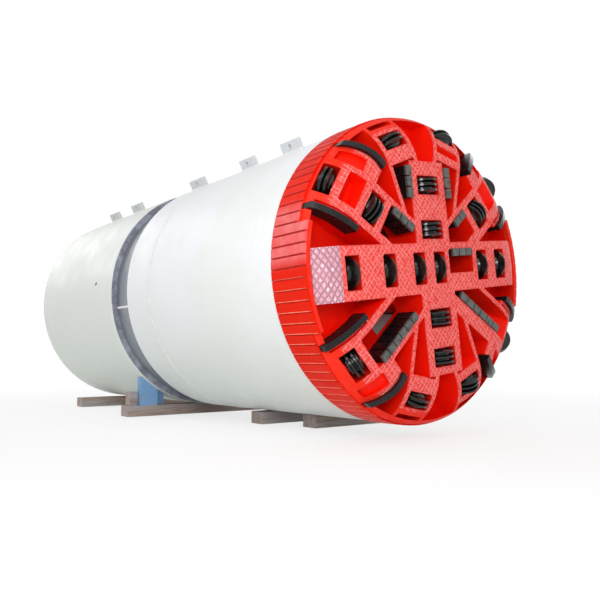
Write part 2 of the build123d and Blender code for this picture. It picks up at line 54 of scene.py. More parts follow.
bandRadius = (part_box("steering_spigot")[1].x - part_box("steering_spigot")[0].x) / 2
headEdge = joints["cutterhead_rotation"]["pos_m"][1]  # Y of the skirt's rear edge
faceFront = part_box("spoke_upper")[0].y  # Y of the flat face
levelPlace = joints["cutter_level_6_spin"]["pos_m"]
headTurn = math.atan2(levelPlace[2] - axisHeight, levelPlace[0])  # the level spoke's own tilt
print("frame read: shield radius", round(shieldRadius, 3), "axis height", round(axisHeight, 3))

# the camera's place, in shield radii from the axis at the skirt's rear edge
cameraSettings = {
    "side": -3.3071,
    "ahead": -3.1789,
    "height": -0.5713,
    "yaw": 38.45,
    "pitch": 4.92,
    "lens": 40.08,
    "sensor": 36.0,
}


def makeCamera(settings):
    data = bpy.data.cameras.new("camera")
    data.lens = settings["lens"]
    data.sensor_width = settings["sensor"]
    camera = bpy.data.objects.new("camera", data)
    camera.location = (
        settings["side"] * shieldRadius,
        headEdge + settings["ahead"] * shieldRadius,
        axisHeight + settings["height"] * shieldRadius,
    )
    turn = (math.radians(90 + settings["pitch"]), 0, -math.radians(settings["yaw"]))
    camera.rotation_euler = turn
    bpy.context.scene.collection.objects.link(camera)
    bpy.context.scene.camera = camera


makeCamera(cameraSettings)

lightSettings = {
    "lamps": [
        # name, place, aim, size, watts
        ("key", (-9.0, -6.5, 8.5), (0, -0.5, 1.6), 6.0, 235),
        ("front", (-5.4, -8.6, 2.6), (0, -3.2, 1.7), 2.6, 225),
        ("right", (9.5, -2.0, 6.5), (0, 0, 1.6), 6.0, 150),
        ("tail", (-3.0, 11.0, 6.5), (0, 3.0, 1.6), 6.0, 190),
    ],
    "ambient": 0.60,
}


def makeLights(settings):
    for name, place, aim, size, watts in settings["lamps"]:
        data = bpy.data.lights.new(name, "AREA")
        data.shape = "DISK"
        data.size = size
        data.energy = watts
        lamp = bpy.data.objects.new(name, data)
        lamp.location = place
        lamp.rotation_euler = (Vector(aim) - Vector(place)).to_track_quat("-Z", "Y").to_euler()
        bpy.context.scene.collection.objects.link(lamp)
    world = bpy.data.worlds.new("studio")
    world.use_nodes = True
    bpy.context.scene.world = world
    tree = world.node_tree
    tree.nodes.clear()
    seen = seenDirectly(tree)
    plain = addNode(tree, "ShaderNodeBackground", {"Color": (1, 1, 1), "Strength": settings["ambient"]})
    white = addNode(tree, "ShaderNodeBackground", {"Color": (1, 1, 1), "Strength": 1.0})
    mix = addNode(tree, "ShaderNodeMixShader", {0: seen, 1: plain.outputs[0], 2: white.outputs[0]})
    addNode(tree, "ShaderNodeOutputWorld", {0: mix.outputs[0]})


def addNode(tree, kind, inputs=None, **settings):
    # one shader node; an input given as a socket is linked, anything else is its value
    node = tree.nodes.new(kind)
    for key, value in settings.items():
        setattr(node, key, value)
    for key, value in (inputs or {}).items():
        socket = node.inputs[key]
        if isinstance(value, bpy.types.NodeSocket):
            tree.links.new(value, socket)
        elif socket.type == "RGBA" and len(value) == 3:
            socket.default_value = (*value, 1)
        else:
            socket.default_value = value
    return node


def seenDirectly(tree):
    # 1 where the backdrop is seen, straight or in gloss and glass, 0 where it lights the machine
    paths = tree.nodes.new("ShaderNodeLightPath").outputs
    inputs = {0: paths["Is Camera Ray"], 1: paths["Is Glossy Ray"]}
    first = addNode(tree, "ShaderNodeMath", inputs, operation="MAXIMUM").outputs[0]
    inputs = {0: first, 1: paths["Is Transmission Ray"]}
    return addNode(tree, "ShaderNodeMath", inputs, operation="MAXIMUM").outputs[0]


makeLights(lightSettings)
bpy.context.scene.view_settings.view_transform = "Standard"


class Finish:
    # a material under construction, with short words for the nodes used most

    def __init__(self, name):
        self.material = bpy.data.materials.new(name)
        self.material.use_nodes = True
        self.tree = self.material.node_tree
        self.tree.nodes.clear()
        self.place = self.add("ShaderNodeTexCoord").outputs["Object"]

    def add(self, kind, inputs=None, **settings):
        return addNode(self.tree, kind, inputs, **settings)

    def maths(self, operation, a, b=0.0):
        return self.add("ShaderNodeMath", {0: a, 1: b}, operation=operation).outputs[0]

    def length(self, vector):
        return self.add("ShaderNodeVectorMath", {0: vector}, operation="LENGTH").outputs["Value"]

    def fromLine(self, start, way):
        # distance from a straight line
        apart = self.add("ShaderNodeVectorMath", {0: self.place, 1: start}, operation="SUBTRACT").outputs[0]
        crossed = self.add("ShaderNodeVectorMath", {0: apart, 1: way}, operation="CROSS_PRODUCT")
        return self.length(crossed.outputs[0])

    def split(self, vector):
        return self.add("ShaderNodeSeparateXYZ", {0: vector}).outputs[:3]

    def join(self, x, y, z):
        return self.add("ShaderNodeCombineXYZ", {0: x, 1: y, 2: z}).outputs[0]

    def ramp(self, value, low, high, lowValue=0.0, highValue=1.0):
        inputs = {0: value, 1: low, 2: high, 3: lowValue, 4: highValue}
        return self.add("ShaderNodeMapRange", inputs, interpolation_type="SMOOTHSTEP").outputs[0]

    def stretched(self, scale):
        return self.add("ShaderNodeMapping", {0: self.place, 3: scale}).outputs[0]

    def noise(self, scale, detail=4.0, roughness=0.55, place=None, distortion=0.0):
        inputs = {"Vector": place or self.place, "Scale": scale, "Detail": detail}
        inputs.update({"Roughness": roughness, "Distortion": distortion})
        return self.add("ShaderNodeTexNoise", inputs).outputs["Fac"]

    def cells(self, scale):
        return self.add("ShaderNodeTexVoronoi", {"Vector": self.place, "Scale": scale}).outputs["Distance"]

    def blend(self, amount, a, b):
        return self.add("ShaderNodeMix", {0: amount, 6: a, 7: b}, data_type="RGBA").outputs[2]

    def bump(self, height, distance, before=None):
        inputs = {"Height": height, "Distance": distance}
        if before is not None:
            inputs["Normal"] = before
        return self.add("ShaderNodeBump", inputs).outputs[0]

    def done(self, colour, roughness, normal, metallic=0.0, **values):
        inputs = {"Base Color": colour, "Roughness": roughness, "Metallic": metallic, "Normal": normal}
        shader = self.add("ShaderNodeBsdfPrincipled", inputs)
        for key, value in values.items():
            shader.inputs[key.replace("_", " ")].default_value = value
        out = self.add("ShaderNodeOutputMaterial")
        self.tree.links.new(shader.outputs[0], out.inputs[0])
        return self.material


def rgb(r, g, b):
    # a colour as painters read it (0 to 255) to the linear values that shaders take
    def linear(v):
        v = v / 255
        return v / 12.92 if v <= 0.04045 else ((v + 0.055) / 1.055) ** 2.4

    return (linear(r), linear(g), linear(b), 1)


floorSettings = {
    "base": (0.95, 0.95, 0.95, 1),
    "cloud": (0.97, 0.97, 0.97, 1),
    "reach": 80.0,
    "fadeFrom": 5.5,  # from the machine's middle, where the floor starts to melt into the backdrop
    "fadeTo": 11.0,
    "wash": 0.74,  # share of the backdrop's white that the floor takes near the machine
}


def makeFloor(settings):
    finish = Finish("paleFloor")
    colour = finish.blend(finish.noise(0.6, 3), settings["base"], settings["cloud"])
    paint = finish.add("ShaderNodeBsdfPrincipled", {"Base Color": colour, "Roughness": 0.9})
    glow = finish.add("ShaderNodeEmission", {"Color": (1, 1, 1), "Strength": 1.0})
    far = finish.ramp(finish.length(finish.place), settings["fadeFrom"], settings["fadeTo"], settings["wash"])
    amount = finish.maths("MULTIPLY", far, seenDirectly(finish.tree))
    mix = finish.add("ShaderNodeMixShader", {0: amount, 1: paint.outputs[0], 2: glow.outputs[0]})
    finish.add("ShaderNodeOutputMaterial", {0: mix.outputs[0]})
    reach = settings["reach"]
    corners = [(-reach, -reach, 0), (reach, -reach, 0), (reach, reach, 0), (-reach, reach, 0)]
    mesh = bpy.data.meshes.new("floor")
    mesh.from_pydata(corners, [], [(0, 1, 2, 3)])
    floor = bpy.data.objects.new("floor", mesh)
    floor.data.materials.append(finish.material)
    bpy.context.scene.collection.objects.link(floor)


makeFloor(floorSettings)
print("camera, lights and floor stand")

# off-white paint of the shields: rolled on, scuffed, streaked, dustier low down, and greener and darker low down
# as painted shade
shieldPaint = {
    "base": rgb(240, 242, 247),
    "warm": rgb(236, 238, 236),
    # painted shade towards the bottom of the shields
    "green": rgb(216, 224, 216),
    # stains and dust on the shields, also the colour of the painted shadow beside the tail seam
    "dirtAndSeamShadow": rgb(176, 176, 166),
    "rust": rgb(140, 104, 80),
    "bare": rgb(128, 128, 142),
    "lathe": rgb(168, 172, 184),
    "rear": rgb(225, 230, 221),  # the rear shield's greener, darker tone
    # painted shade on the lugs
    "lug": rgb(198, 202, 204),
    "edge": rgb(112, 114, 108),
    # painted shade inside the ports' bores
    "bore": rgb(30, 38, 34),
    "boreRadius": 0.027,
    "coatBlend": 0.05,  # half the stretch in which the two shields' coats meet
    "jointFace": (0.02, 0.004),  # the joint's bare face reaches so far ahead of its front and behind it
    "seamShadowWide": (0.016, 0.034),  # painted shadow beside the tail seam: full so near its middle, gone so far from it
    "lugLift": (0.006, 0.02),  # from the skin outwards, where a lug's painted grey shade starts and is full
    "tailEdge": (0.014, 0.008),  # from the rear end forward, where the bare edge starts and is full
}


def makeShieldPaint(settings):
    finish = Finish("shieldPaint")
    x, y, z = finish.split(finish.place)
    colour = finish.blend(finish.ramp(finish.noise(0.9, 3), 0.35, 0.7), settings["base"], settings["warm"])
    rearTone = finish.ramp(y, ringLow.y - settings["coatBlend"], ringLow.y + settings["coatBlend"], 0, 0.7)
    colour = finish.blend(rearTone, colour, settings["rear"])
    low = finish.ramp(z, axisHeight + shieldRadius * 0.1, axisHeight - shieldRadius * 0.9)
    # greener and darker towards the bottom: painted shade
    colour = finish.blend(finish.maths("MULTIPLY", low, 0.75), colour, settings["green"])
    runs = finish.noise(1.0, 6, 0.7, finish.stretched((0.6, 9.0, 0.35)))  # rain and grease down the flanks
    colour = finish.blend(finish.ramp(runs, 0.6, 0.82, 0, 0.22), colour, settings["dirtAndSeamShadow"])
    dust = finish.maths("MULTIPLY", low, finish.ramp(finish.noise(14, 8, 0.7), 0.52, 0.76, 0, 0.3))
    colour = finish.blend(dust, colour, settings["dirtAndSeamShadow"])
    scuffs = finish.ramp(finish.noise(2.2, 9, 0.75, finish.stretched((1, 0.25, 1))), 0.66, 0.78, 0, 0.3)
    colour = finish.blend(scuffs, colour, settings["warm"])
    chips = finish.ramp(finish.noise(38, 6, 0.65), 0.72, 0.76)
    colour = finish.blend(finish.maths("MULTIPLY", chips, 0.5), colour, settings["bare"])
    spots = finish.ramp(finish.cells(4.5), 0.045, 0.02, 0, 0.3)
    colour = finish.blend(spots, colour, settings["rust"])
    # the joint's front face is left bare where it slides on the band
    steel = finish.blend(finish.ramp(finish.noise(5, 6, 0.7), 0.4, 0.62), settings["bare"], settings["lathe"])
    ahead, behind = settings["jointFace"]
    joint = finish.maths("LESS_THAN", y, ringLow.y + behind)
    joint = finish.maths("MULTIPLY", finish.maths("GREATER_THAN", y, ringLow.y - ahead), joint)
    colour = finish.blend(joint, colour, steel)
    # a painted shadow along the toes of the seam between skin and tail section
    seamShadow = finish.maths("ABSOLUTE", finish.maths("SUBTRACT", y, skinHigh.y))
    seamShadowBreakup = finish.ramp(finish.noise(7, 5), 0.3, 0.6, 0.4, 0.8)
    full, gone = settings["seamShadowWide"]
    seamShadow = finish.maths("MULTIPLY", finish.ramp(seamShadow, gone, full), seamShadowBreakup)
    colour = finish.blend(seamShadow, colour, settings["dirtAndSeamShadow"])
    # painted shade greys the lugs, the tail edge is bare, and painted shade darkens the ports' bores
    radius = finish.length(finish.join(x, 0.0, finish.maths("SUBTRACT", z, axisHeight)))
    start, end = settings["lugLift"]
    lugShadeMask = finish.ramp(radius, shieldRadius + start, shieldRadius + end, 0, 0.7)
    colour = finish.blend(lugShadeMask, colour, settings["lug"])
    ragged = finish.maths("ADD", y, finish.ramp(finish.noise(9, 6), 0.3, 0.7, -0.006, 0.006))
    start, end = settings["tailEdge"]
    tail = finish.ramp(ragged, rearHigh.y - start, rearHigh.y - end)
    colour = finish.blend(tail, colour, settings["edge"])
    # the ports' bores are painted dark: painted shade inside the holes
    for word in ("left", "right"):
        mount = mounts["lubrication_port_" + word]
        away = finish.fromLine(mount["pos_m"], mount["axis"])
        bore = finish.maths("LESS_THAN", away, settings["boreRadius"])
        near = finish.maths("GREATER_THAN", x, 0.0) if word == "right" else finish.maths("LESS_THAN", x, 0.0)
        colour = finish.blend(finish.maths("MULTIPLY", bore, near), colour, settings["bore"])
    roughness = finish.ramp(finish.noise(3, 5), 0.3, 0.7, 0.38, 0.52)
    normal = finish.bump(finish.noise(1.6, 2), 0.010)
    normal = finish.bump(finish.noise(240, 2), 0.0004, normal)
    normal = finish.bump(finish.maths("SUBTRACT", 1.0, chips), 0.0006, normal)
    return finish.done(colour, roughness, normal, Specular_IOR_Level=0.35)


# the head's paint: strong red inside, pink scuffed hard-facing on the dished face, its lighter pink partly a
# painted highlight on the front-facing surfaces
headPaint = {
    "red": rgb(246, 26, 4),
    "deep": rgb(214, 14, 2),
    "face": rgb(230, 66, 58),
    "faceLight": rgb(242, 102, 96),
    "faceDark": rgb(208, 32, 22),
    "rimRed": rgb(238, 42, 18),
    "flatRadius": 1.13,
    "arcRadius": 0.5279,
    "faceSkin": 0.006,  # how thick the pink layer is
    "rimFrom": 1.40,  # here the pink gives way to plain red paint
    "rimTo": 1.47,
    "hatch": 0.021,  # half the distance between two strokes
    "drift": 0.03,  # how far a stroke wanders
}


def dishHeight(radius, settings):
    # how far the dished face falls back from its flat middle
    over = max(radius - settings["flatRadius"], 0.0)
    return settings["arcRadius"] - math.sqrt(settings["arcRadius"] ** 2 - over**2)


def belowFace(finish, settings):
    # how far behind the dished face a point lies, and how far from the axis
    x, y, z = finish.split(finish.place)
    radius = finish.length(finish.join(x, 0.0, finish.maths("SUBTRACT", z, axisHeight)))
    over = finish.maths("MAXIMUM", finish.maths("SUBTRACT", radius, settings["flatRadius"]), 0.0)
    squares = finish.maths("SUBTRACT", settings["arcRadius"] ** 2, finish.maths("MULTIPLY", over, over))
    arc = finish.maths("SQRT", finish.maths("MAXIMUM", squares, 0.0))
    surface = finish.maths("SUBTRACT", faceFront + settings["arcRadius"], arc)
    return finish.maths("SUBTRACT", y, surface), radius


def headWays(finish):
    # coordinates along and across the level spoke
    x, y, z = finish.split(finish.place)
    up = finish.maths("SUBTRACT", z, axisHeight)
    cosine, sine = math.cos(headTurn), math.sin(headTurn)
    along = finish.maths("ADD", finish.maths("MULTIPLY", x, cosine), finish.maths("MULTIPLY", up, sine))
    across = finish.maths("SUBTRACT", finish.maths("MULTIPLY", up, cosine), finish.maths("MULTIPLY", x, sine))
    return along, across


def strokes(finish, spacing, reach):
    # two crossing families of strokes as heights from 0 to 1
    along, across = headWays(finish)
    drift = finish.maths("MULTIPLY", finish.maths("SUBTRACT", finish.noise(11, 3), 0.5), reach)
    ridges = []
    for way in (1.0, -1.0):
        line = finish.maths("ADD", finish.maths("ADD", along, finish.maths("MULTIPLY", across, way)), drift)
        ridges.append(finish.ramp(finish.maths("PINGPONG", line, spacing), spacing * 0.4, 0.0))
    return finish.maths("MAXIMUM", ridges[0], ridges[1])


def makeHeadPaint(settings):
    finish = Finish("headPaint")
    below, radius = belowFace(finish, settings)
    onFace = finish.ramp(below, settings["faceSkin"] * 2, settings["faceSkin"])
    cloud = finish.ramp(finish.noise(1.7, 4), 0.35, 0.75, 0, 0.6)
    red = finish.blend(cloud, settings["red"], settings["deep"])
    smears = finish.ramp(finish.noise(5, 8, 0.7, finish.stretched((1, 0.3, 1))), 0.6, 0.8, 0, 0.3)
    red = finish.blend(smears, red, settings["deep"])
    grain = finish.ramp(finish.noise(55, 6, 0.75), 0.4, 0.62)
    face = finish.blend(grain, settings["face"], settings["faceLight"])
    dark = finish.ramp(finish.noise(23, 4), 0.4, 0.6)
    dark = finish.maths("MULTIPLY", strokes(finish, settings["hatch"], settings["drift"]), dark)
    face = finish.blend(finish.maths("MULTIPLY", dark, 0.75), face, settings["faceDark"])
    blotches = finish.ramp(finish.noise(6, 6, 0.7), 0.52, 0.72, 0, 0.45)
    face = finish.blend(blotches, face, settings["faceDark"])
    rubbed = finish.ramp(finish.noise(12, 6, 0.7), 0.45, 0.7, 0, 0.5)
    plain = finish.blend(rubbed, settings["rimRed"], settings["face"])
    face = finish.blend(finish.ramp(radius, settings["rimFrom"], settings["rimTo"]), face, plain)
    # the face's lighter pink: hard-facing, and partly a painted highlight on the front-facing surfaces
    colour = finish.blend(onFace, red, face)
    roughness = finish.maths("ADD", finish.maths("MULTIPLY", onFace, 0.12), 0.42)
    normal = finish.bump(finish.noise(150, 3), 0.0004)
    normal = finish.bump(finish.maths("MULTIPLY", finish.noise(38, 4, 0.6), onFace), 0.003, normal)
    return finish.done(colour, roughness, normal, Specular_IOR_Level=0.16)


# wear strips: orange-red, pinkish beside the level spoke's left end with dust and a painted reflection
stripPaint = {
    "red": rgb(232, 34, 4),
    "deep": rgb(206, 20, 2),
    "dusty": rgb(232, 118, 118),
    "dustSheenAngle": 172.0,  # middle and half width of the pinkish stretch of dust and painted reflection, in degrees round the axis
    "dustSheenHalf": 13.0,
    "turnTone": 96,  # strips round the head, so that each gets a tone of its own
}


def makeStripPaint(settings):
    finish = Finish("stripPaint")
    x, y, z = finish.split(finish.place)
    up = finish.maths("SUBTRACT", z, axisHeight)
    angle = finish.maths("ARCTAN2", up, x)
    tone = finish.maths("SUBTRACT", angle, headTurn)
    tone = finish.maths("FLOOR", finish.maths("MULTIPLY", tone, settings["turnTone"] / (2 * math.pi)))
    each = finish.add("ShaderNodeTexWhiteNoise", {1: tone}, noise_dimensions="1D").outputs["Value"]
    colour = finish.blend(finish.maths("MULTIPLY", each, 0.55), settings["red"], settings["deep"])
    # angle from the middle of the pinkish stretch of dust and painted reflection; the arctangent jumps at the
    # left, so it is turned round
    turned = finish.maths("ARCTAN2", finish.maths("MULTIPLY", up, -1.0), finish.maths("MULTIPLY", x, -1.0))
    away = finish.maths("ABSOLUTE", finish.maths("ADD", turned, math.radians(180 - settings["dustSheenAngle"])))
    dust = finish.ramp(away, math.radians(settings["dustSheenHalf"]), math.radians(settings["dustSheenHalf"] * 0.5))
    patchy = finish.ramp(finish.noise(5, 6, 0.7), 0.4, 0.6, 0.45, 0.8)
    patchy = finish.maths("ADD", patchy, finish.maths("MULTIPLY", each, 0.25))
    # the pinkish stretch: dust, and a painted reflection
    colour = finish.blend(finish.maths("MULTIPLY", dust, patchy), colour, settings["dusty"])
    rubbed = finish.ramp(finish.noise(30, 7, 0.75), 0.6, 0.75, 0, 0.3)
    colour = finish.blend(rubbed, colour, settings["dusty"])
    normal = finish.bump(finish.noise(25, 4), 0.0015)
    normal = finish.bump(finish.noise(190, 2), 0.0003, normal)
    roughness = finish.ramp(finish.noise(6, 4), 0.3, 0.7, 0.4, 0.52)
    return finish.done(colour, roughness, normal, Specular_IOR_Level=0.08)


cutterPaint = {"black": rgb(9, 9, 11), "grey": rgb(36, 38, 42), "green": rgb(15, 20, 15)}


def makeCutterPaint(settings):
    finish = Finish("cutterPaint")
    colour = finish.blend(finish.ramp(finish.noise(5, 4), 0.4, 0.65), settings["black"], settings["green"])
    rubbed = finish.ramp(finish.noise(26, 7, 0.75), 0.6, 0.74, 0, 0.45)
    colour = finish.blend(rubbed, colour, settings["grey"])
    roughness = finish.ramp(finish.noise(18, 5), 0.35, 0.7, 0.12, 0.22)
    normal = finish.bump(finish.noise(40, 4), 0.0014)
    return finish.done(colour, roughness, normal, Specular_IOR_Level=0.42)


lipPaint = {"black": rgb(16, 16, 18), "worn": rgb(84, 92, 104), "dust": rgb(44, 42, 44)}


def makeLipPaint(settings):
    finish = Finish("lipPaint")
    dusty = finish.ramp(finish.noise(9, 5, 0.7), 0.5, 0.75, 0, 0.6)
    colour = finish.blend(dusty, settings["black"], settings["dust"])
    worn = finish.ramp(finish.noise(16, 8, 0.75), 0.63, 0.74, 0, 0.6)
    colour = finish.blend(worn, colour, settings["worn"])
    roughness = finish.ramp(finish.noise(14, 5), 0.35, 0.7, 0.18, 0.36)
    normal = finish.bump(finish.noise(60, 5, 0.7), 0.0016)
    return finish.done(colour, roughness, normal, Specular_IOR_Level=0.3)


toothPaint = {"steel": rgb(96, 98, 94), "dark": rgb(52, 54, 54), "bright": rgb(140, 140, 134)}


def makeToothSteel(settings):
    finish = Finish("toothSteel")
    cloud = finish.ramp(finish.noise(15, 5, 0.7), 0.4, 0.7)
    colour = finish.blend(cloud, settings["steel"], settings["dark"])
    ground = finish.noise(60, 5, 0.7, finish.stretched((1, 1, 6)))
    colour = finish.blend(finish.ramp(ground, 0.55, 0.75, 0, 0.5), colour, settings["bright"])
    normal = finish.bump(ground, 0.0008)
    return finish.done(colour, 0.42, normal, 0.35)


# hard-faced pad: pale pink lozenges between dark mauve weld lines
padPaint = {
    "light": rgb(250, 214, 226),
    "mid": rgb(212, 158, 172),
    "mauve": rgb(180, 124, 138),
    "line": rgb(150, 106, 122),
    "wide": 0.052,  # a lozenge along the spoke
    "tall": 0.086,  # and across it
}


def makePadPaint(settings):
    finish = Finish("padPaint")
    along, across = headWays(finish)
    u = finish.maths("DIVIDE", along, settings["wide"])
    v = finish.maths("DIVIDE", across, settings["tall"])
    first = finish.maths("PINGPONG", finish.maths("ADD", u, v), 0.5)
    second = finish.maths("PINGPONG", finish.maths("SUBTRACT", u, v), 0.5)
    # 0 on a line, 1 in the middle of a lozenge
    inner = finish.maths("MULTIPLY", finish.maths("MINIMUM", first, second), 2.0)
    colour = finish.blend(finish.ramp(inner, 0.1, 0.35), settings["mauve"], settings["mid"])
    some = finish.ramp(finish.noise(7, 5, 0.7), 0.5, 0.62)
    # pale middles of some lozenges: painted highlight
    shine = finish.maths("MULTIPLY", finish.ramp(inner, 0.25, 0.7), some)
    colour = finish.blend(shine, colour, settings["light"])
    mottled = finish.ramp(finish.noise(45, 5, 0.7), 0.5, 0.7, 0, 0.6)
    colour = finish.blend(mottled, colour, settings["mauve"])
    normal = finish.bump(finish.ramp(inner, 0.0, 0.6), 0.006)
    normal = finish.bump(finish.noise(90, 4), 0.0012, normal)
    return finish.done(colour, 0.42, normal, Specular_IOR_Level=0.4)


bandMetal = {
    "steel": rgb(154, 160, 168),
    "dark": rgb(116, 120, 128),
    "teal": rgb(124, 150, 152),
    "rust": rgb(134, 118, 114),
}


def makeBandSteel(settings):
    finish = Finish("bandSteel")
    turned = finish.noise(3, 5, 0.6, finish.stretched((0.35, 26, 0.35)))
    colour = finish.blend(finish.ramp(turned, 0.35, 0.7), settings["steel"], settings["dark"])
    clouds = finish.noise(1.9, 6, 0.65)
    colour = finish.blend(finish.ramp(clouds, 0.5, 0.72, 0, 0.7), colour, settings["dark"])
    colour = finish.blend(finish.ramp(finish.noise(1.3, 4), 0.55, 0.7, 0, 0.5), colour, settings["teal"])
    colour = finish.blend(finish.ramp(finish.noise(8, 8, 0.7), 0.64, 0.76, 0, 0.4), colour, settings["rust"])
    normal = finish.bump(turned, 0.0006)
    return finish.done(colour, finish.ramp(clouds, 0.3, 0.7, 0.32, 0.5), normal, 0.45)


greyMetal = {"grey": rgb(122, 126, 130), "dark": rgb(84, 88, 92), "rust": rgb(130, 96, 76)}


def makeMachineGrey(settings):
    finish = Finish("machineGrey")
    colour = finish.blend(finish.ramp(finish.noise(3, 5), 0.35, 0.7), settings["grey"], settings["dark"])
    colour = finish.blend(finish.ramp(finish.noise(13, 8, 0.7), 0.62, 0.72, 0, 0.6), colour, settings["rust"])
    return finish.done(colour, 0.5, finish.bump(finish.noise(120, 3), 0.0005))


timberSettings = {
    "pale": rgb(184, 166, 156),
    "brown": rgb(146, 122, 112),
    "dark": rgb(84, 66, 60),
    "grey": rgb(178, 176, 180),
}


def makeTimber(settings, name="timberWood", paint=None):
    finish = Finish(name)
    fibres = finish.noise(5, 8, 0.7, finish.stretched((0.6, 16, 14)), 0.6)
    rings = finish.noise(1.4, 4, 0.6, finish.stretched((0.5, 7, 7)))
    colour = finish.blend(finish.ramp(fibres, 0.35, 0.65), settings["pale"], settings["brown"])
    colour = finish.blend(finish.ramp(rings, 0.45, 0.6, 0, 0.6), colour, settings["grey"])
    cracks = finish.ramp(fibres, 0.68, 0.74)
    colour = finish.blend(cracks, colour, settings["dark"])
    if paint:
        worn = finish.ramp(finish.noise(10, 8, 0.75), 0.56, 0.66)
        colour = finish.blend(worn, paint, colour)
    normal = finish.bump(fibres, 0.004)
    normal = finish.bump(finish.maths("SUBTRACT", 1.0, cracks), 0.003, normal)
    return finish.done(colour, 0.78, normal)


weldSettings = {
    "shield": rgb(252, 252, 250),
    "shade": rgb(230, 232, 228),
    "head": rgb(244, 140, 138),
    "deep": rgb(232, 90, 84),
}


def makeWeldPaint(name, light, shade):
    # painted weld beads: scaly, lighter and darker in patches
    finish = Finish(name)
    colour = finish.blend(finish.ramp(finish.noise(50, 5, 0.7), 0.38, 0.62), light, shade)
    normal = finish.bump(finish.cells(160), 0.0012)
    return finish.done(colour, 0.46, normal, Specular_IOR_Level=0.35)


# the light weld colour low down is partly a painted highlight
stripWeldSettings = {"light": rgb(252, 146, 120), "shade": rgb(246, 104, 76), "dark": rgb(176, 20, 16)}


def makeStripWeld(settings):
    # welds between the strips: light low down on the drum, partly a painted highlight on the strips' lower edges,
    # and dark red above
    finish = Finish("stripWeld")
    z = finish.split(finish.place)[2]
    scaly = finish.ramp(finish.noise(50, 5, 0.7), 0.38, 0.62)
    light = finish.blend(scaly, settings["light"], settings["shade"])
    # light below the axis: painted highlight
    high = finish.ramp(z, axisHeight - shieldRadius * 0.3, axisHeight)
    colour = finish.blend(high, light, settings["dark"])
    return finish.done(colour, 0.5, finish.bump(finish.cells(160), 0.0012), Specular_IOR_Level=0.25)


darkSteel = {"steel": rgb(74, 76, 80), "rust": rgb(104, 78, 64)}


def makeDarkSteel(settings):
    finish = Finish("darkSteel")
    rusty = finish.ramp(finish.noise(16, 7, 0.7), 0.45, 0.7)
    colour = finish.blend(rusty, settings["steel"], settings["rust"])
    return finish.done(colour, 0.5, finish.bump(finish.noise(110, 4), 0.0008), 0.3)


materials = {
    "shield_white": makeShieldPaint(shieldPaint),
    "head_red": makeHeadPaint(headPaint),
    "strip_red": makeStripPaint(stripPaint),
    "cutter_black": makeCutterPaint(cutterPaint),
    "lip_black": makeLipPaint(lipPaint),
    "tooth_steel": makeToothSteel(toothPaint),
    "pad_pink": makePadPaint(padPaint),
    "band_steel": makeBandSteel(bandMetal),
    "machine_grey": makeMachineGrey(greyMetal),
    "timber": makeTimber(timberSettings),
    "wedge_blue": makeTimber(timberSettings, "wedgeBlue", rgb(128, 170, 214)),
}
shieldWeld = makeWeldPaint("shieldWeld", weldSettings["shield"], weldSettings["shade"])
headWeld = makeWeldPaint("headWeld", weldSettings["head"], weldSettings["deep"])
stripWeld = makeStripWeld(stripWeldSettings)
padWeld = makeWeldPaint("padWeld", padPaint["mauve"], padPaint["line"])
darkMetal = makeDarkSteel(darkSteel)

slotOf = {row["node"]: row["material_slot"] for row in frame["record"]["subparts"]}
for name, piece in frame["nodes"].items():
    if not piece.data.materials:
        piece.data.materials.append(None)
    for slot in piece.material_slots:
        slot.material = materials[slotOf[name]]
print("materials on", len(frame["nodes"]), "pieces")


def addPiece(name, points, faces, body, material, smooth=True):
    mesh = bpy.data.meshes.new(name)
    mesh.from_pydata(points, [], faces)
    mesh.materials.append(material)
    mesh.polygons.foreach_set("use_smooth", [smooth] * len(mesh.polygons))
    piece = bpy.data.objects.new(name, mesh)
    bpy.context.scene.collection.objects.link(piece)
    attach(piece, body)
    return piece


beadShape = {
    "profile": [(-1.0, 0.0), (-0.55, 0.8), (0.55, 0.8), (1.0, 0.0)],  # across in half widths, up in heights
    "sink": 0.0015,
    "endSwell": 0.5,  # an open bead is so much smaller at its ends
}


def layBead(points, faces, path, normals, width, height, ripple, loop=False, seed=0):
    # a weld bead: a low rounded ridge along a path, its feet sunk a little into the plate
    profile = beadShape["profile"]
    corners = len(profile)
    chance = random.Random(seed)
    first = len(points)
    count = len(path)
    for i, (place, normal) in enumerate(zip(path, normals)):
        after = path[(i + 1) % count] if loop or i + 1 < count else place
        before = path[i - 1] if loop or i > 0 else place
        side = (after - before).cross(normal).normalized()
        swell = 1 + ripple * chance.uniform(-1, 1)
        if not loop and i in (0, count - 1):
            swell *= beadShape["endSwell"]
        for across, up in profile:
            lift = up * height * swell - beadShape["sink"] * (1 - up)
            points.append(place + side * (across * width / 2 * swell) + normal * lift)
    turns = count if loop else count - 1
    for i in range(turns):
        here = first + i * corners
        there = first + ((i + 1) % count) * corners
        for k in range(corners - 1):
            faces.append((here + k, there + k, there + k + 1, here + k + 1))


def roundPlace(radius, angle, y):
    # a point round the machine's axis, and the outward direction there
    outward = Vector((math.cos(angle), 0, math.sin(angle)))
    return Vector((0, y, axisHeight)) + outward * radius, outward


def treeOf(names):
    points, faces = [], []
    for name in names:
        mesh = frame["nodes"][name].data
        base = len(points)
        points += [vertex.co.copy() for vertex in mesh.vertices]
        faces += [[base + index for index in face.vertices] for face in mesh.polygons]
    return BVHTree.FromPolygons(points, faces)


def headDirections(turn):
    # along a line turned so far round the head's axis, and across it
    return Vector((math.cos(turn), 0, math.sin(turn))), Vector((-math.sin(turn), 0, math.cos(turn)))


def castAtHead(tree, flat):
    # where a ray from the front meets the head, and the surface's normal there
    start = Vector((flat.x, faceFront - 0.05, flat.z + axisHeight))
    return tree.ray_cast(start, Vector((0, 1, 0)))[:2]


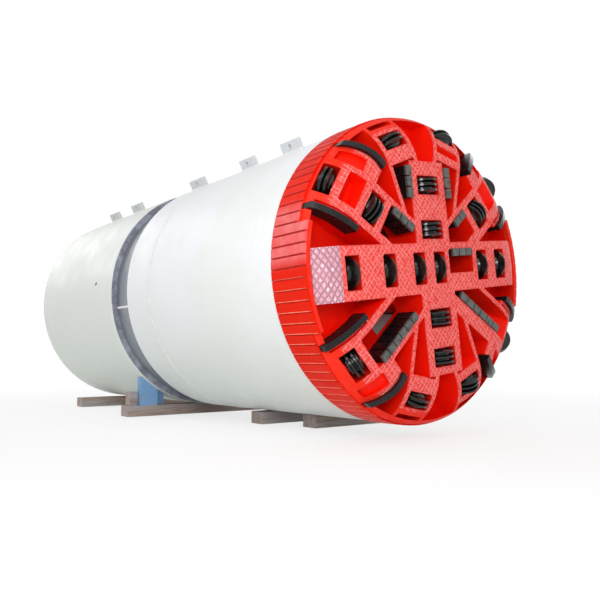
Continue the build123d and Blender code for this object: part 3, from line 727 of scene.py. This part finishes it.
# hard-facing: crossing weld beads laid by hand over the face of spokes and arms
faceBeads = {
    "spacing": 0.044,
    "step": 0.016,
    "width": 0.014,
    "height": 0.0034,
    "ripple": 0.22,
    "wobble": 0.008,
    "wave": 0.21,  # turn of the wobble's sine in one step, in radians
    "phase": 6.3,  # a line's wobble starts anywhere up to this angle
    "jitter": 0.0012,
    "breaks": 0.06,  # share of steps at which the welder lifted off
    "outTo": 1.45,
    "lean": (48.0, -48.0),
    "shortest": 3,
    "offFace": 0.002,  # a hit further from the dish than this isn't on the face
    "seed": 7,
}


def makeFaceBeads(settings):
    width, height = settings["width"], settings["height"]
    names = [name for name in frame["nodes"] if name.startswith(("spoke_", "arm_", "side_arm_"))]
    tree = treeOf(names)
    points, faces = [], []
    reach = settings["outTo"]
    back = Vector((0, 1, 0))
    jitter = settings["jitter"]
    chance = random.Random(settings["seed"])
    for lean in settings["lean"]:
        along, across = headDirections(headTurn + math.radians(lean))
        lines = int(reach / settings["spacing"])
        for line in range(-lines, lines + 1):
            phase = chance.uniform(0, settings["phase"])
            path, normals = [], []
            steps = int(reach / settings["step"])
            for step in range(-steps, steps + 2):
                sway = settings["wobble"] * math.sin(phase + step * settings["wave"])
                sway += chance.uniform(-jitter, jitter)
                flat = along * (step * settings["step"]) + across * (line * settings["spacing"] + sway)
                radius = flat.length
                hit = None
                if radius < reach and step <= steps and chance.random() > settings["breaks"]:
                    hit, normal = castAtHead(tree, flat)
                    if hit is not None:
                        drop = hit.y - faceFront - dishHeight(radius, headPaint)
                        hit = hit if abs(drop) < settings["offFace"] and normal.y < -0.5 else None
                if hit is not None:
                    slope = math.asin(max(radius - headPaint["flatRadius"], 0) / headPaint["arcRadius"])
                    outward = flat.normalized() if radius > 0 else Vector()
                    path.append(hit)
                    normals.append((outward * math.sin(slope) - back * math.cos(slope)).normalized())
                    continue
                if len(path) >= settings["shortest"]:
                    layBead(points, faces, path, normals, width, height, settings["ripple"], seed=line)
                path, normals = [], []
    addPiece("face_beads", points, faces, "cutterhead", headWeld)
    print("hard-facing laid:", len(faces), "faces")


makeFaceBeads(faceBeads)

# the weld lines between the pad's lozenges
padBeads = {
    "width": 0.008,
    "height": 0.0035,
    "ripple": 0.15,
    "step": 0.01,
    "lines": 26,  # on each side of the head's middle
    "acrossFrom": -0.27,
    "acrossTo": 0.28,
    "sway": 0.009,
    "swayTurns": (9, 40),  # turn of the sway's sine from line to line and per metre along one, in radians
    "shortest": 3,
}


def makePadBeads(settings):
    tree = treeOf(["hardfaced_pad"])
    points, faces = [], []
    alongWay, acrossWay = headDirections(headTurn)
    wide, tall = padPaint["wide"], padPaint["tall"]
    width, height = settings["width"], settings["height"]
    perLine, perMetre = settings["swayTurns"]
    for way in (1, -1):
        # a line of the lattice: along / wide + way * across / tall is whole
        for line in range(-settings["lines"], settings["lines"] + 1):
            path, normals = [], []
            across = settings["acrossFrom"]
            while across < settings["acrossTo"]:
                sway = settings["sway"] * math.sin(perLine * line + across * perMetre)
                along = (line - way * across / tall) * wide + sway
                flat = alongWay * along + acrossWay * across
                hit, normal = castAtHead(tree, flat)
                if hit is not None and normal.y < -0.3 and along < 0:
                    path.append(hit)
                    normals.append(normal)
                elif path:
                    if len(path) >= settings["shortest"]:
                        layBead(points, faces, path, normals, width, height, settings["ripple"], seed=line)
                    path, normals = [], []
                across += settings["step"]
    addPiece("pad_beads", points, faces, "cutterhead", padWeld)


makePadBeads(padBeads)

# thin weld along the lower edge of every wear strip
stripBeads = {
    "count": 96,
    "radius": 1.581,
    "width": 0.010,
    "height": 0.0026,
    "ripple": 0.2,
    "joint": 0.012,
    "seat": 0.003,  # from the strip's edge to the bead's middle
    "inset": 0.004,  # from the strip's ends to the bead's ends
    "steps": 8,
    "edge": -0.4160,  # front ends, from the skirt's rear edge
    "mouth": -0.510,
    "setback": -0.368,
    "back": -0.010,
    "mouthAngle": 18.75,
    "flushAngle": 60.0,
}


def makeStripBeads(settings):
    points, faces = [], []
    turn = 360 / settings["count"]
    radius, inset, steps = settings["radius"], settings["inset"], settings["steps"]
    width, height, ripple = settings["width"], settings["height"], settings["ripple"]
    half = math.radians(turn / 2) - settings["joint"] / 2 / radius - settings["seat"] / radius
    for i in range(settings["count"]):
        middle = (i + 0.5) * turn
        past = middle % 180
        front = settings["setback"]
        if min(past, 180 - past) < settings["mouthAngle"]:
            front = settings["mouth"]
        elif past < settings["flushAngle"]:
            front = settings["edge"]
        angle = math.radians(middle) + headTurn
        low = angle + half if math.cos(angle) < 0 else angle - half
        path, normals = [], []
        for k in range(steps + 1):
            y = headEdge + front + inset + (settings["back"] - front - 2 * inset) * k / steps
            place, outward = roundPlace(radius, low, y)
            path.append(place)
            normals.append(outward)
        layBead(points, faces, path, normals, width, height, ripple, seed=i)
    addPiece("strip_beads", points, faces, "cutterhead", stripWeld)


makeStripBeads(stripBeads)
print("head dressed")

# welds round the shields; a corner weld lies inside, where the skin meets the bulkhead
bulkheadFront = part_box("bulkhead")[0].y
shieldSeams = {
    "seams": [
        # name, body, radius, Y, width, height, corner weld or not
        ("seam_tail", "front_shield", shieldRadius, skinHigh.y, 0.042, 0.0060, False),
        ("seam_ring", "rear_shield", shieldRadius, ringHigh.y, 0.014, 0.0025, False),
        ("seam_drum", "front_shield", shieldRadius - 0.04, bulkheadFront - 0.002, 0.016, 0.008, True),
    ],
    "steps": 420,
    "ripple": 0.12,
}


def makeSeams(settings):
    steps = settings["steps"]
    for name, body, radius, y, width, height, corner in settings["seams"]:
        points, faces, path, normals = [], [], [], []
        for i in range(steps):
            place, outward = roundPlace(radius, math.tau * i / steps, y)
            path.append(place)
            normals.append((Vector((0, -1, 0)) - outward).normalized() if corner else outward)
        layBead(points, faces, path, normals, width, height, settings["ripple"], True)
        addPiece(name, points, faces, body, shieldWeld)


makeSeams(shieldSeams)

# a weld round every lifting lug, and flat bars beside some of them
lugWelds = {
    "lengths": [0.300, 0.270, 0.330, 0.310, 0.290],  # of the lugs, row by row from the front
    "frontRows": 3,
    "half": 0.0335,
    "width": 0.016,
    "height": 0.009,
    "ripple": 0.15,
    "gap": 0.003,  # from a lug's end to the bead's middle
    "longParts": 16,
    "shortParts": 4,
}
lugPlates = {"long": 0.26, "wide": 0.05, "thick": 0.008, "lead": 0.02, "rows": (0, 2, 4)}


def makeLugDetails(welds, plates):
    eyes = [mount for name, mount in mounts.items() if name.startswith("lifting_eye_")]
    eyes.sort(key=lambda mount: mount["pos_m"][1])
    width, height, ripple = welds["width"], welds["height"], welds["ripple"]
    for body in ("front_shield", "rear_shield"):
        points, faces, platePoints, plateFaces = [], [], [], []
        for index, eye in enumerate(eyes):
            row = index // 2
            if (body == "front_shield") != (row < welds["frontRows"]):
                continue
            x, y, z = eye["pos_m"]
            angle = math.atan2(z - axisHeight, x)
            halfLong = welds["lengths"][row] / 2 + welds["gap"]
            turn = welds["half"] / shieldRadius
            path, normals = [], []
            corners = [(turn, -halfLong), (turn, halfLong), (-turn, halfLong), (-turn, -halfLong)]
            for k in range(4):
                (startTurn, startY), (endTurn, endY) = corners[k], corners[(k + 1) % 4]
                parts = welds["longParts"] if k % 2 == 0 else welds["shortParts"]
                for part in range(parts):
                    t = part / parts
                    here = angle + startTurn + (endTurn - startTurn) * t
                    place, outward = roundPlace(shieldRadius, here, y + startY + (endY - startY) * t)
                    path.append(place)
                    normals.append(outward)
            layBead(points, faces, path, normals, width, height, ripple, True, index)
            if row in plates["rows"] and x > 0:
                beside = angle + 0.5 * plates["wide"] / shieldRadius
                addFlatBar(platePoints, plateFaces, beside, y + halfLong + plates["lead"], plates)
        addPiece("lug_welds_" + body, points, faces, body, shieldWeld)
        addPiece("lug_plates_" + body, platePoints, plateFaces, body, darkMetal, False)


def addFlatBar(points, faces, angle, y, plates):
    # a flat bar lying on the shield, along it
    base = len(points)
    half = plates["wide"] / 2 / shieldRadius
    for turn in (-half, half):
        for lift in (0.0, plates["thick"]):
            for along in (0.0, plates["long"]):
                points.append(roundPlace(shieldRadius + lift, angle + turn, y + along)[0])
    for face in ((0, 1, 3, 2), (4, 6, 7, 5), (0, 4, 5, 1), (2, 3, 7, 6), (0, 2, 6, 4), (1, 5, 7, 3)):
        faces.append(tuple(base + corner for corner in face))


makeLugDetails(lugWelds, lugPlates)

# painted mark across the bare band
bandMark = {"angle": 188.5, "wide": 0.03, "thick": 0.003, "ripple": 0.05, "inset": 0.012, "steps": 12}


def makeBandMark(settings):
    points, faces, path, normals = [], [], [], []
    start, end = tailHigh.y + settings["inset"], ringLow.y - settings["inset"]
    for k in range(settings["steps"] + 1):
        y = start + (end - start) * k / settings["steps"]
        place, outward = roundPlace(bandRadius, math.radians(settings["angle"]), y)
        path.append(place)
        normals.append(outward)
    layBead(points, faces, path, normals, settings["wide"], settings["thick"], settings["ripple"])
    addPiece("band_mark", points, faces, "rear_shield", shieldWeld)


makeBandMark(bandMark)

# weld rings round the two lubrication ports
portRings = {"radius": 0.032, "width": 0.012, "height": 0.005, "ripple": 0.1, "steps": 24}


def makePortRings(settings):
    points, faces = [], []
    along = Vector((0, 1, 0))
    steps, ripple = settings["steps"], settings["ripple"]
    width, height = settings["width"], settings["height"]
    for word in ("left", "right"):
        mount = mounts["lubrication_port_" + word]
        place, out = Vector(mount["pos_m"]), Vector(mount["axis"])
        middle = place + out * (shieldRadius - (place - Vector((0, place.y, axisHeight))).length)
        side = along.cross(out)
        path = []
        for i in range(steps):
            turn = math.tau * i / steps
            path.append(middle + (along * math.cos(turn) + side * math.sin(turn)) * settings["radius"])
        layBead(points, faces, path, [out] * steps, width, height, ripple, True)
    addPiece("port_welds", points, faces, "rear_shield", shieldWeld)


makePortRings(portRings)
print("shields dressed")

# the tail end: welds of the rear bulkhead and its pipes, and a handle on the access door
tailEnd = {
    "wide": 0.018,
    "high": 0.009,
    "ripple": 0.15,
    "steps": 360,
    "pipeWide": 0.014,
    "pipeSteps": 48,
    "handleLong": 0.22,
    "handleOut": 0.055,
    "handleIn": 0.07,  # from the leaf's free edge
    "handleSink": 0.002,
    "bar": 0.009,
    "barSides": 12,
    "bend": 0.025,
    "bendSteps": 6,
}


def layTube(points, faces, path, radius, sides):
    # a round bar along a path, closed at both ends
    first = len(points)
    for i, place in enumerate(path):
        way = (path[min(i + 1, len(path) - 1)] - path[max(i - 1, 0)]).normalized()
        side = way.cross(Vector((1, 0, 0))).normalized()
        other = way.cross(side)
        for k in range(sides):
            turn = math.tau * k / sides
            points.append(place + (side * math.cos(turn) + other * math.sin(turn)) * radius)
    for i in range(len(path) - 1):
        for k in range(sides):
            here, after = first + i * sides, first + (i + 1) * sides
            faces.append((here + k, here + (k + 1) % sides, after + (k + 1) % sides, after + k))
    faces.append(tuple(first + k for k in reversed(range(sides))))
    faces.append(tuple(first + (len(path) - 1) * sides + k for k in range(sides)))


def makeBulkheadWelds(settings):
    low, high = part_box("rear_bulkhead")
    back = Vector((0, 1, 0))
    points, faces, path, normals = [], [], [], []
    steps = settings["steps"]
    for i in range(steps):
        place, outward = roundPlace((high.x - low.x) / 2, math.tau * i / steps, high.y)
        path.append(place)
        normals.append((back - outward).normalized())
    height, ripple = settings["high"], settings["ripple"]
    layBead(points, faces, path, normals, settings["wide"], height, ripple, True, 3)
    for name in ("slurry_pipe_left", "slurry_pipe_right"):
        pipeLow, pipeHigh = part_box(name)
        middle = (pipeLow + pipeHigh) / 2
        # a ray from beside the pipe, just behind the bulkhead, finds its radius
        start = Vector((pipeHigh.x + 0.05, high.y + 0.03, middle.z))
        hit = treeOf([name]).ray_cast(start, Vector((-1, 0, 0)))[0]
        path, normals = [], []
        steps = settings["pipeSteps"]
        for i in range(steps):
            turn = math.tau * i / steps
            outward = Vector((math.cos(turn), 0, math.sin(turn)))
            path.append(Vector((middle.x, high.y, middle.z)) + outward * (hit.x - middle.x))
            normals.append((back + outward).normalized())
        layBead(points, faces, path, normals, settings["pipeWide"], height, ripple, True, 5)
    addPiece("bulkhead_welds", points, faces, "rear_shield", shieldWeld)


def makeDoorHandle(settings):
    low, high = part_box("access_door")
    middle = (low.z + high.z) / 2
    x = high.x - settings["handleIn"]
    leaf = treeOf(["access_door"]).ray_cast(Vector((x, high.y + 0.2, middle)), Vector((0, -1, 0)))[0]
    half, out, bend = settings["handleLong"] / 2, settings["handleOut"], settings["bend"]
    foot, steps = leaf.y - settings["handleSink"], settings["bendSteps"]
    path = [Vector((x, foot, middle - half))]
    for end in (-1, 1):
        for k in range(steps + 1):
            turn = math.pi / 2 * (k / steps if end < 0 else 1 - k / steps)
            y = leaf.y + out - bend + bend * math.sin(turn)
            z = middle + end * (half - bend + bend * math.cos(turn))
            path.append(Vector((x, y, z)))
    path.append(Vector((x, foot, middle + half)))
    points, faces = [], []
    layTube(points, faces, path, settings["bar"], settings["barSides"])
    addPiece("door_handle", points, faces, "access_door", darkMetal)


makeBulkheadWelds(tailEnd)
makeDoorHandle(tailEnd)
print("tail end dressed")
